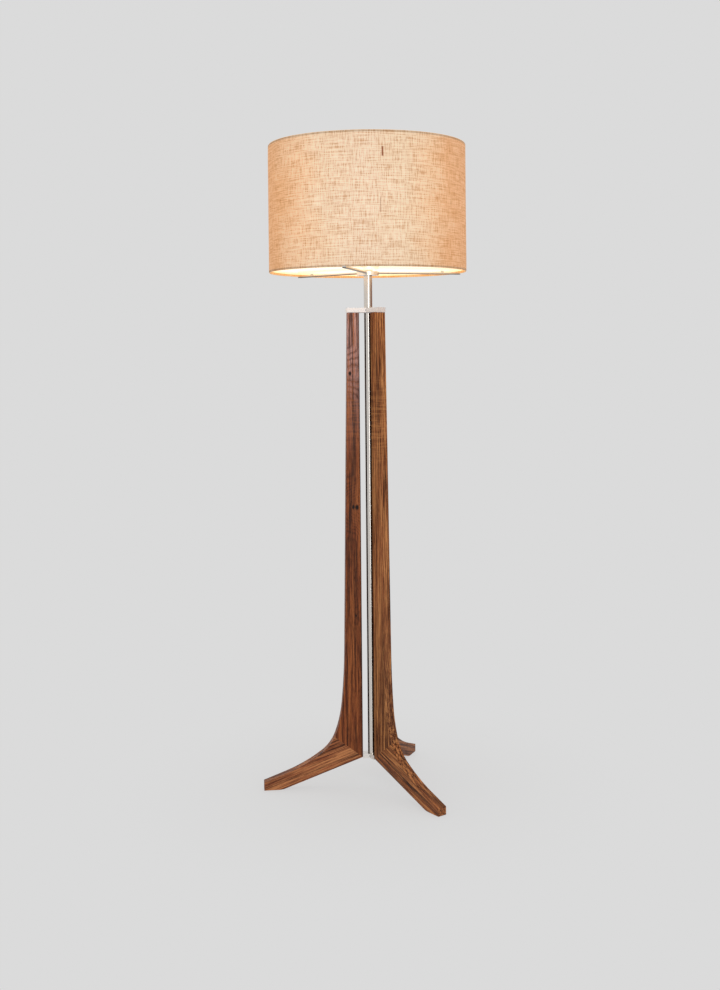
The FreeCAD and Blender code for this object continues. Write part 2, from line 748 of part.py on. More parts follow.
def crown_edge(edge):
    return near(edge.Vertexes[0].Z, crown_height) and edge.Length > size("dims.bulb_radius")


rounding(globe, globe.Tip, "Fillet", crown_edge, "dims.bulb_crown")


# ---- shade ----

def drum(name, inner, outer):
    """A wall of the drum, with three notches in its lower rim for the spider's arms."""
    body = turned(name, tube_corners(inner, outer, "dims.shade_bottom", "dims.shade_top"),
                  azimuth="dims.arm_azimuth")
    side = f"{half_arm} + dims.running_gap"
    notch = rectangle(body, f"-({side})", side, "dims.shade_bottom - dims.overcut",
                      "dims.arm_top + dims.running_gap", plane="YZ_Plane")
    around(body, pocket(body, notch, Type="ThroughAll", Reversed=True))
    return body


skin = "dims.shade_radius - dims.fabric_thickness"
drum("shade_fabric", skin, "dims.shade_radius")
drum("shade_liner", f"{skin} - dims.liner_thickness", skin)

for name, height in (
    ("shade_ring_bottom", "dims.arm_top + dims.running_gap + dims.ring_wire"),
    ("shade_ring_top", "dims.shade_top - dims.ring_wire"),
):
    ring = doc.addObject("Part::Torus", name)
    ring.Label = name
    ring.setExpression("Radius1", f"{skin} - dims.liner_thickness - dims.ring_wire - dims.ring_gap")
    ring.setExpression("Radius2", "dims.ring_wire")
    ring.Placement = Placement(Vector(0, 0, size(height)), Rotation())
    ring.setExpression("Placement.Base.z", height)
    parts.append(ring)


# ---- check and write ----

doc.recompute()
for thing in doc.Objects:
    if "Invalid" in thing.State or "Error" in thing.State:
        raise ValueError(f"{thing.Name} failed: {thing.State}")
os.makedirs("parts", exist_ok=True)
for part in parts:
    if part.Shape.isNull() or not part.Shape.isValid():
        raise ValueError(f"{part.Label} has no valid shape")
for part in parts:
    part.Shape.exportStep(f"parts/{part.Label}.step")
    print(f"{part.Label}: {len(part.Shape.Solids)} solids, {part.Shape.Volume / 1000:.1f} cm3")
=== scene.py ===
"""A tripod floor lamp: three mitred walnut legs round an aluminium tube, under a lit burlap drum shade."""
import math

import bpy
from mathutils import Euler, Matrix, Vector


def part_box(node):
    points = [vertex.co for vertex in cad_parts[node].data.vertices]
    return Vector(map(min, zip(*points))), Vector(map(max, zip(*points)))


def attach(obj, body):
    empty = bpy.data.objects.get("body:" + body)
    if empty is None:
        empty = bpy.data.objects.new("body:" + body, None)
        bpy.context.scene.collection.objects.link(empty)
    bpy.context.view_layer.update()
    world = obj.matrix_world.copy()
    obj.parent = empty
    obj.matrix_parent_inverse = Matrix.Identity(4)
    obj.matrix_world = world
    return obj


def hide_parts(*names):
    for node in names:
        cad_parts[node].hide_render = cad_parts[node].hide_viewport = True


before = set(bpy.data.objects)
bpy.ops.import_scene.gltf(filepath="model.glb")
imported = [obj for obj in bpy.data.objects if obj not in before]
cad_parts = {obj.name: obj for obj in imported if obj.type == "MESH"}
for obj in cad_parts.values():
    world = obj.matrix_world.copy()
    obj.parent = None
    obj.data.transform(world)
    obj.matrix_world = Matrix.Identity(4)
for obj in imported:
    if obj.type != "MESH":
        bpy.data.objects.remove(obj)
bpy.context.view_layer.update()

# ---- where things are, in metres, from the frame ------------------------------------------------
LEG_AZIMUTHS = {"left": math.radians(180), "right": math.radians(300), "back": math.radians(60)}
LEG_INNER_RADIUS = -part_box("leg_upright_left")[1].x
LEG_INNER_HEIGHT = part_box("leg_upright_left")[0].z
HEEL_RADIUS = 0.232  # where a foot's straight underside meets its sole
SOLE_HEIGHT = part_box("leg_foot_left")[0].z

SHADE_LOW, SHADE_HIGH = (corner.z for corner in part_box("shade_fabric"))
SHADE_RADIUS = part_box("shade_fabric")[1].x
SHADE_MIDDLE = (SHADE_LOW + SHADE_HIGH) / 2
BULB_LOW, BULB_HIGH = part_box("bulb_globe")
BULB_MIDDLE = (BULB_LOW + BULB_HIGH) / 2

# ---- camera and room ----------------------------------------------------------------------------
CAMERA_AZIMUTH = math.radians(-6.9)
CAMERA_DISTANCE = 3.184
EYE_HEIGHT = 1.1315
CAMERA_LENS = 44.86
CAMERA_SENSOR = 36
CAMERA_ROLL = math.radians(-0.52)
CAMERA_SHIFT = (-0.0085, -0.1511)

ROOM_GREY = (0.708, 0.708, 0.708, 1.0)
FLOOR_RADIUS = 14
BULB_POWER = 1.2
BULB_COLOUR = (1.0, 0.82, 0.58)
BULB_LIGHT_SIZE = 0.02
BULB_LIGHT_RISE = 0.03  # above the globe's top
# a wall for the metal to reflect: its azimuth, distance from the lamp, height, and size
WALL_AZIMUTH = math.radians(105)
WALL_DISTANCE = 1.5
WALL_HEIGHT = 1.2
WALL_SIZE = (3.4, 1.8, 1)


def around_lamp(azimuth, distance, height):
    """A place in the room, its azimuth measured from the lamp's front."""
    return Vector((distance * math.sin(azimuth), -distance * math.cos(azimuth), height))


def put_in_scene(name, data):
    item = bpy.data.objects.new(name, data)
    bpy.context.scene.collection.objects.link(item)
    return item


def srgb(red, green, blue):
    """A colour given in 0 to 255, as the linear colour that shaders take."""
    def linear(value):
        share = value / 255
        return share / 12.92 if share <= 0.04045 else ((share + 0.055) / 1.055) ** 2.4
    return (linear(red), linear(green), linear(blue), 1.0)


# ---- building materials from nodes --------------------------------------------------------------
class Tree:
    """A material's node tree, with short ways to add nodes and join them."""

    def __init__(self, name):
        self.material = bpy.data.materials.new(name)
        self.material.use_nodes = True
        self.tree = self.material.node_tree
        self.shader = self.tree.nodes["Principled BSDF"]
        self.point = self.add("TexCoord").outputs["Object"]

    def fill(self, socket, value):
        if isinstance(value, bpy.types.NodeSocket):
            self.tree.links.new(value, socket)
        else:
            socket.default_value = value

    def add(self, kind, inputs=None, **settings):
        node = self.tree.nodes.new("ShaderNode" + kind)
        for name, value in settings.items():
            setattr(node, name, value)
        for key, value in (inputs or {}).items():
            self.fill(node.inputs[key], value)
        return node

    def math(self, operation, *values):
        return self.add("Math", dict(enumerate(values)), operation=operation).outputs[0]

    def hypot(self, first, second):
        """The length of the slope whose two sides are first and second."""
        squares = self.math("MULTIPLY", first, first), self.math("MULTIPLY", second, second)
        return self.math("SQRT", self.math("ADD", *squares))

    def apart(self, first, second):
        return self.math("ABSOLUTE", self.math("SUBTRACT", first, second))

    def wave(self, turn):
        """A sine that runs from 0 to 1."""
        return self.math("MULTIPLY_ADD", self.math("SINE", turn), 0.5, 0.5)

    def dot(self, vector, direction):
        node = self.add("VectorMath", {0: vector, 1: direction}, operation="DOT_PRODUCT")
        return node.outputs["Value"]

    def combine(self, x, y, z=0.0):
        return self.add("CombineXYZ", {0: x, 1: y, 2: z}).outputs[0]

    def separate(self, vector):
        return self.add("SeparateXYZ", {0: vector}).outputs

    def from_axis(self):
        """How far a point is from the lamp's axis."""
        x, y, _ = self.separate(self.point)
        return self.hypot(x, y)

    def scaled(self, vector, factors, offset=(0, 0, 0)):
        settings = {0: vector, 1: factors, 2: offset}
        return self.add("VectorMath", settings, operation="MULTIPLY_ADD").outputs[0]

    def noise(self, vector, scale=1.0, detail=2.0, roughness=0.5):
        settings = {"Vector": vector, "Scale": scale, "Detail": detail, "Roughness": roughness}
        return self.add("TexNoise", settings).outputs["Fac"]

    def between(self, value, low, high, to_low=0.0, to_high=1.0):
        """value carried smoothly from low..high to to_low..to_high."""
        settings = {"Value": value, "From Min": low, "From Max": high, "To Min": to_low, "To Max": to_high}
        return self.add("MapRange", settings, interpolation_type="SMOOTHSTEP").outputs[0]

    def ramp(self, value, stops):
        node = self.add("ValToRGB", {0: value})
        elements = node.color_ramp.elements
        while len(elements) < len(stops):
            elements.new(1.0)
        for element, (position, colour) in zip(elements, stops):
            element.position = position
            element.color = colour
        return node.outputs[0]

    def mix(self, factor, first, second):
        return self.add("Mix", {0: factor, 6: first, 7: second}, data_type="RGBA").outputs[2]

    def bump(self, height, depth):
        return self.add("Bump", {"Height": height, "Distance": depth}).outputs[0]

    def finish(self, **sockets):
        """The finished material: sockets are the Principled shader's, with _ for a space."""
        for name, value in sockets.items():
            self.fill(self.shader.inputs[name.replace("_", " ")], value)
        return self.material


def dress(material, *nodes):
    """Gives the CAD nodes this material."""
    for node in nodes:
        for material_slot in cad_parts[node].material_slots:
            material_slot.material = material


# ---- walnut -------------------------------------------------------------------------------------
KNOT_HEART = srgb(20, 10, 8)
INNER_SHADE = srgb(34, 18, 14)  # painted on the faces towards the tube, which look shadowed
INNER_SHADE_DEPTH = 0.0045
RING_WIDTH = 0.0068
FINE_RINGS = 3.7  # fine rings to one broad ring
LATE_WOOD_EDGE = 2.2  # how sharply a ring ends
# each board's dark, middle, ruddy and light wood
BOARDS = {
    "upright_left": [srgb(50, 21, 8), srgb(110, 54, 24), srgb(128, 62, 33), srgb(166, 96, 50)],
    "upright_right": [srgb(64, 30, 14), srgb(140, 80, 42), srgb(156, 90, 52), srgb(200, 136, 82)],
    "upright_back": [srgb(54, 27, 15), srgb(118, 70, 40), srgb(130, 76, 46), srgb(170, 114, 68)],
    "foot_left": [srgb(56, 25, 13), srgb(136, 74, 42), srgb(156, 86, 53), srgb(196, 130, 82)],
    "foot_right": [srgb(46, 22, 12), srgb(128, 70, 36), srgb(148, 82, 46), srgb(198, 130, 76)],
    "foot_back": [srgb(56, 30, 17), srgb(118, 64, 34), srgb(130, 72, 40), srgb(162, 104, 64)],
    "splines": [srgb(60, 30, 18), srgb(124, 76, 46), srgb(136, 82, 50), srgb(170, 116, 74)],
}
# broad patches of another colour along a board's height: height, half length, colour and strength; the
# pinkish band at the top of the left upright is painted warm light from the lamp, and the right upright's
# bands make it darker near its top and its lower end
PAINTED_GLOW_AND_DARK_BANDS = {
    "upright_left": [(1.20, 0.38, srgb(216, 168, 160), 0.88)],
    "upright_right": [(1.22, 0.16, srgb(96, 42, 26), 0.6), (0.16, 0.38, srgb(84, 40, 24), 0.85)],
}
# the height about which a board has a curled figure, ripples across its grain
CURLS = {"upright_left": 0.98, "upright_right": 0.93}
# the knots of a leg's upright: distance from the lamp's axis, height and size
KNOTS = {"left": [(0.050, 1.060, 0.0060), (0.035, 0.716, 0.0075), (0.044, 0.717, 0.0055),
                  (0.040, 0.438, 0.003)]}
SPLINE_SLOPE = math.radians(53)
SPLINE_SEED = 8


def walnut(board_name, azimuth, grain_slope, seed, knots=()):
    """Oiled walnut for one leg member, with its grain at grain_slope from level in the leg's own plane.

    A knot is (radius from the lamp's axis, height, size), in metres.
    """
    dark, middle, ruddy, light = BOARDS[board_name]
    wood = Tree(f"walnut_{board_name}")
    outward = Vector((math.cos(azimuth), math.sin(azimuth), 0))
    up = Vector((0, 0, 1))
    along = outward * math.cos(grain_slope) + up * math.sin(grain_slope)
    across = up * math.cos(grain_slope) - outward * math.sin(grain_slope)
    through = outward.cross(up)
    board = wood.combine(wood.dot(wood.point, through), wood.dot(wood.point, across),
                         wood.dot(wood.point, along))
    board = wood.scaled(board, (1, 1, 1), (seed * 0.31, seed * 0.17, seed * 1.7))

    wander = wood.noise(wood.scaled(board, (16, 16, 1.1)), detail=3)
    ripple = wood.noise(wood.scaled(board, (70, 70, 7)), detail=2)
    x, y, _ = wood.separate(board)
    pith_across = wood.math("MULTIPLY_ADD", wander, 0.055, wood.math("ADD", y, 0.03 - seed * 0.17))
    pith_through = wood.math("ADD", x, 0.05 - seed * 0.31)
    ring_radius = wood.math("MULTIPLY_ADD", ripple, 0.006, wood.hypot(pith_across, pith_through))

    heart = 0.0
    for radius, knot_height, size in knots:
        centre = outward * radius + up * knot_height
        from_knot = wood.add("VectorMath", {0: wood.point, 1: centre}, operation="SUBTRACT").outputs[0]
        sideways = wood.math("DIVIDE", wood.dot(from_knot, across), size)
        lengthways = wood.math("DIVIDE", wood.dot(from_knot, along), size * 1.5)
        reach = wood.hypot(sideways, lengthways)
        swirl = wood.between(reach, 0.0, 9.0, size * 4.5, 0.0)
        ring_radius = wood.math("ADD", ring_radius, swirl)
        heart = wood.math("ADD", heart, wood.between(reach, 0.3, 0.9, 1.0, 0.0))

    turn = wood.math("MULTIPLY", ring_radius, 2 * math.pi / RING_WIDTH)
    late_wood = wood.math("POWER", wood.wave(turn), LATE_WOOD_EDGE)
    fine_rings = wood.wave(wood.math("MULTIPLY", turn, FINE_RINGS))

    tone = wood.noise(wood.scaled(board, (34, 34, 1.6)), detail=4, roughness=0.6)
    streak = wood.noise(wood.scaled(board, (190, 190, 4)), detail=4, roughness=0.7)
    fibre = wood.noise(wood.scaled(board, (700, 700, 16)), detail=3, roughness=0.7)
    pore = wood.between(wood.noise(wood.scaled(board, (1150, 1150, 62)), detail=1), 0.60, 0.70)

    base = wood.ramp(tone, [(0.32, dark), (0.42, middle), (0.53, ruddy), (0.68, light)])
    height = wood.dot(wood.point, up)
    # painted lamp light at the top of the left upright, and the darker bands of the right upright
    for centre, reach, colour, strength in PAINTED_GLOW_AND_DARK_BANDS.get(board_name, ()):
        base = wood.mix(wood.between(wood.apart(height, centre), 0.0, reach, strength, 0.0), base, colour)
    base = wood.mix(wood.math("MULTIPLY", late_wood, 0.6), base, dark)
    base = wood.mix(wood.math("MULTIPLY", fine_rings, 0.22), base, dark)
    base = wood.mix(wood.between(streak, 0.50, 0.62, 0.0, 0.85), base, light)
    base = wood.mix(wood.between(streak, 0.49, 0.38, 0.0, 0.95), base, dark)
    base = wood.mix(wood.between(fibre, 0.51, 0.64, 0.0, 0.6), base, light)
    base = wood.mix(wood.between(fibre, 0.47, 0.36, 0.0, 0.65), base, dark)
    base = wood.mix(wood.math("MULTIPLY", pore, 0.6), base, dark)
    at_inner_face = wood.between(wood.dot(wood.point, outward), LEG_INNER_RADIUS,
                                 LEG_INNER_RADIUS + INNER_SHADE_DEPTH, 0.85, 0.0)
    base = wood.mix(at_inner_face, base, INNER_SHADE)
    if board_name in CURLS:
        curl = wood.noise(wood.scaled(board, (18, 18, 210)), detail=2)
        curled = wood.between(wood.apart(height, CURLS[board_name]), 0.02, 0.17, 1.0, 0.0)
        crest = wood.between(curl, 0.50, 0.64, 0.0, 0.3)
        trough = wood.between(curl, 0.48, 0.36, 0.0, 0.25)
        base = wood.mix(wood.math("MULTIPLY", crest, curled), base, light)
        base = wood.mix(wood.math("MULTIPLY", trough, curled), base, dark)
    if knots:
        base = wood.mix(heart, base, KNOT_HEART)

    relief = wood.math("SUBTRACT", wood.math("MULTIPLY", streak, 0.35), pore)
    relief = wood.math("MULTIPLY_ADD", fibre, 0.25, relief)
    sheen = wood.math("MULTIPLY_ADD", pore, 0.2, wood.between(tone, 0.3, 0.7, 0.38, 0.5))
    return wood.finish(Base_Color=base, Roughness=sheen, Normal=wood.bump(relief, 0.00012),
                       Specular_IOR_Level=0.14)


def dress_legs():
    """Each member has its own board: uprights with upright grain, feet with grain along their underside."""
    drop = LEG_INNER_HEIGHT - SOLE_HEIGHT
    foot_slope = -math.atan2(drop, HEEL_RADIUS - LEG_INNER_RADIUS)
    for seed, (side, azimuth) in enumerate(LEG_AZIMUTHS.items(), start=1):
        upright = walnut(f"upright_{side}", azimuth, math.radians(90), seed, KNOTS.get(side, ()))
        foot = walnut(f"foot_{side}", azimuth, foot_slope, seed + 3)
        dress(upright, f"leg_upright_{side}")
        dress(foot, f"leg_foot_{side}")
    dress(walnut("splines", LEG_AZIMUTHS["left"], SPLINE_SLOPE, SPLINE_SEED), "mitre_splines")


# ---- metals and plastics ------------------------------------------------------------------------
def brushed_metal(name, colour, roughness, stretch, depth=0.00002, smudge=0.06):
    """Metal with fine tool lines, drawn out along the axis whose stretch is smallest."""
    metal = Tree(name)
    lines = metal.noise(metal.scaled(metal.point, stretch), detail=3, roughness=0.7)
    handling = metal.noise(metal.point, scale=22, detail=4)
    tint = metal.mix(metal.between(lines, 0.3, 0.7, 0.0, 0.18), colour, srgb(120, 118, 114))
    rough = metal.math("MULTIPLY_ADD", handling, smudge, roughness - smudge / 2)
    rough = metal.math("MULTIPLY_ADD", lines, 0.05, rough)
    return metal.finish(Base_Color=tint, Metallic=1.0, Roughness=rough, Normal=metal.bump(lines, depth))


def turned_metal(name, colour, roughness):
    """Metal faced on a lathe: fine rings round the lamp's axis."""
    metal = Tree(name)
    height = metal.separate(metal.point)[2]
    outward = metal.math("MULTIPLY", metal.from_axis(), 2600)
    lines = metal.noise(metal.combine(outward, metal.math("MULTIPLY", height, 900)), detail=2)
    handling = metal.noise(metal.point, scale=30, detail=4)
    tint = metal.mix(metal.between(lines, 0.3, 0.7, 0.0, 0.15), colour, srgb(130, 126, 120))
    rough = metal.math("MULTIPLY_ADD", handling, 0.08, roughness - 0.04)
    return metal.finish(Base_Color=tint, Metallic=1.0, Roughness=rough, Normal=metal.bump(lines, 0.000015))


def drawn_tube():
    """Satin tube, polished round and round, so that a highlight is drawn out along it."""
    tube = Tree("aluminium_tube")
    lines = tube.noise(tube.scaled(tube.point, (60, 60, 1600)), detail=2)
    handling = tube.noise(tube.point, scale=18, detail=4)
    tint = tube.mix(tube.between(lines, 0.3, 0.7, 0.0, 0.06), srgb(224, 218, 211), srgb(160, 156, 150))
    rough = tube.math("MULTIPLY_ADD", handling, 0.05, 0.17)
    tangent = tube.add("Tangent", direction_type="RADIAL", axis="Z").outputs[0]
    return tube.finish(Base_Color=tint, Metallic=1.0, Roughness=rough, Normal=tube.bump(lines, 0.000001),
                       Anisotropic=0.9, Anisotropic_Rotation=0.25, Tangent=tangent)


def moulded(name, colour, roughness, grain_scale, grain_depth, darker=0.75):
    """Moulded plastic or rubber: a fine leathery surface with slightly uneven colour."""
    plastic = Tree(name)
    grain = plastic.noise(plastic.point, scale=grain_scale, detail=3)
    cloud = plastic.noise(plastic.point, scale=grain_scale / 30, detail=4)
    shade = tuple(channel * darker for channel in colour[:3]) + (1.0,)
    tint = plastic.mix(plastic.between(cloud, 0.3, 0.7, 0.0, 0.6), colour, shade)
    rough = plastic.math("MULTIPLY_ADD", cloud, 0.12, roughness - 0.06)
    return plastic.finish(Base_Color=tint, Roughness=rough, Normal=plastic.bump(grain, grain_depth),
                          Specular_IOR_Level=0.5)


def arm_with_painted_edge_shade(side):
    """A flat arm with lines along it and a dark band painted along its lower edge as shade."""
    lowest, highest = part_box(f"spider_arm_{side}")
    middle = (lowest + highest) / 2
    turn = Matrix.Rotation(-math.atan2(middle.y, middle.x), 3, "Z")
    arm = Tree(f"aluminium_arm_{side}")
    along = arm.dot(arm.point, turn[0])
    across = arm.dot(arm.point, turn[1])
    height = arm.separate(arm.point)[2]
    lines = arm.noise(arm.scaled(arm.combine(along, across, height), (12, 1800, 1800)), detail=3)
    bright = arm.mix(arm.between(lines, 0.3, 0.7, 0.0, 0.3), srgb(228, 222, 214), srgb(170, 165, 158))
    # painted shade: a dark band along the arm's lower edge
    painted_edge_shade = arm.between(height, lowest.z + 0.0012, lowest.z + 0.0028, 1.0, 0.0)
    tint = arm.mix(painted_edge_shade, bright, srgb(112, 104, 98))
    return arm.finish(Base_Color=tint, Metallic=1.0, Normal=arm.bump(lines, 0.00002), Roughness=0.3)


def dress_metals():
    dress(drawn_tube(), "tube", "riser")
    dress(turned_metal("aluminium_turned", srgb(240, 236, 230), 0.3), "base_plate", "spider_hub")
    dress(turned_metal("aluminium_cap", srgb(240, 238, 240), 0.7), "cap_plate")
    for side in ("front", "right", "back"):
        dress(arm_with_painted_edge_shade(side), f"spider_arm_{side}")
    steel = brushed_metal("screw_steel", srgb(190, 190, 192), 0.3, (900, 900, 900), 0.00001, 0.15)
    dress(steel, "cap_screws", "leg_screws", "base_grub_screw", "cap_grub_screw", "arm_screws")
    dress(brushed_metal("nickel", srgb(205, 200, 188), 0.2, (500, 500, 1600)), "bulb_cap", "screw_sleeve",
          "riser_washer", "riser_nut")
    dress(brushed_metal("brass", srgb(214, 176, 104), 0.24, (400, 400, 1500)), "lampholder_cup",
          "lampholder_shell", "centre_contact")


def dress_plastics():
    dress(moulded("phenolic", srgb(30, 27, 25), 0.36, 1800, 0.00002), "switch_knob", "lampholder_core")
    dress(moulded("liner_card", srgb(186, 168, 132), 0.8, 2500, 0.00004), "lampholder_liner")
    dress(moulded("nylon", srgb(110, 96, 84), 0.45, 1500, 0.00002), "cord_bush", "tube_top_bush")
    dress(moulded("nylon_spacer", srgb(212, 206, 194), 0.4, 1500, 0.00002, 0.9), "diffuser_spacer")
    dress(moulded("rubber", srgb(196, 194, 186), 0.5, 900, 0.00004, 0.9), "diffuser_pads")
    dress(moulded("glide_plastic", srgb(58, 46, 38), 0.55, 1200, 0.00004), "foot_glides")
    dress(moulded("bulb_collar", srgb(236, 234, 228), 0.3, 1500, 0.00001, 0.93), "bulb_collar")


# ---- the lit pieces -----------------------------------------------------------------------------
def opal_acrylic():
    """Gloss opal sheet: its underside glows most under the bulb, its upper side half as much."""
    sheet = Tree("opal_acrylic")
    cloud = sheet.noise(sheet.point, scale=9, detail=3)
    glow = sheet.between(sheet.from_axis(), 0.02, SHADE_RADIUS, 1.5, 1.32)
    glow = sheet.math("MULTIPLY", glow, sheet.math("MULTIPLY_ADD", cloud, 0.06, 0.97))
    facing_up = sheet.separate(sheet.add("NewGeometry").outputs["Normal"])[2]
    glow = sheet.math("MULTIPLY", glow, sheet.between(facing_up, -0.5, 0.5, 1.0, 0.5))
    tint = sheet.mix(sheet.between(cloud, 0.3, 0.7), srgb(255, 222, 178), srgb(255, 225, 184))
    flow = sheet.noise(sheet.point, scale=35, detail=1)
    return sheet.finish(Base_Color=srgb(120, 116, 104), Roughness=0.12, Emission_Color=tint,
                        Emission_Strength=glow, Normal=sheet.bump(flow, 0.00005),
                        Coat_Weight=0.4, Coat_Roughness=0.04)


def liner_styrene():
    """The white inner drum: its own glow is least at the bulb's height, where the bulb lights it."""
    liner = Tree("liner_styrene")
    height = liner.separate(liner.point)[2]
    away = liner.apart(height, BULB_MIDDLE.z)
    grain = liner.noise(liner.point, scale=1400, detail=2)
    cloud = liner.noise(liner.point, scale=7, detail=3)
    tint = liner.mix(liner.between(away, 0.0, 0.2), srgb(255, 222, 160), srgb(250, 190, 104))
    unevenness = liner.between(cloud, 0.2, 0.8, 0.93, 1.0)
    glow = liner.math("MULTIPLY", liner.between(away, 0.05, 0.19, 0.16, 0.62), unevenness)
    return liner.finish(Base_Color=srgb(206, 194, 168), Roughness=0.55, Emission_Color=tint,
                        Emission_Strength=glow, Normal=liner.bump(grain, 0.00003))


def frosted_globe():
    globe = Tree("frosted_globe")
    grain = globe.noise(globe.point, scale=2600, detail=2)
    height = globe.separate(globe.point)[2]
    glow = globe.between(height, BULB_LOW.z, BULB_MIDDLE.z, 0.9, 1.9)
    return globe.finish(Base_Color=srgb(250, 246, 236), Roughness=0.3, Emission_Color=srgb(255, 226, 176),
                        Emission_Strength=glow, Normal=globe.bump(grain, 0.00001))


def enamelled_wire():
    return moulded("ring_enamel", srgb(232, 226, 212), 0.35, 700, 0.00003, 0.92)


# ---- the burlap ---------------------------------------------------------------------------------
THREAD_PITCH = 0.00115
HEM_HEIGHT = 0.0052
BURLAP_PALE = srgb(206, 180, 152)
BURLAP_MID = srgb(192, 152, 110)
BURLAP_DARK = srgb(168, 100, 42)
SLUB_BROWN = srgb(104, 52, 26)
THREAD_GLOW = srgb(222, 150, 84)
FOLD_GLOW = srgb(244, 170, 84)
SLUB_GLOW = srgb(196, 104, 50)
FOLD_GLOW_STRENGTH = 0.62
# the light through the cloth, by degrees from the drum's front, left to right; the back repeats the front;
# paler at the front, darker and more orange towards the sides, as painted shade
GLOW_ROUND = [(-90, srgb(218, 145, 80)), (-68, srgb(220, 153, 93)), (-50, srgb(238, 194, 154)),
              (-30, srgb(235, 212, 184)), (-8, srgb(232, 214, 192)), (12, srgb(227, 208, 181)),
              (31, srgb(229, 187, 148)), (48, srgb(213, 144, 86)), (90, srgb(210, 135, 67))]
# single thick threads: angle round the drum from its front, share of its height, length, width
# and strength
SLUBS = [(math.radians(1.6), 0.842, 0.024, 0.0034, 0.9), (math.radians(0.4), 0.452, 0.038, 0.0022, 0.4)]


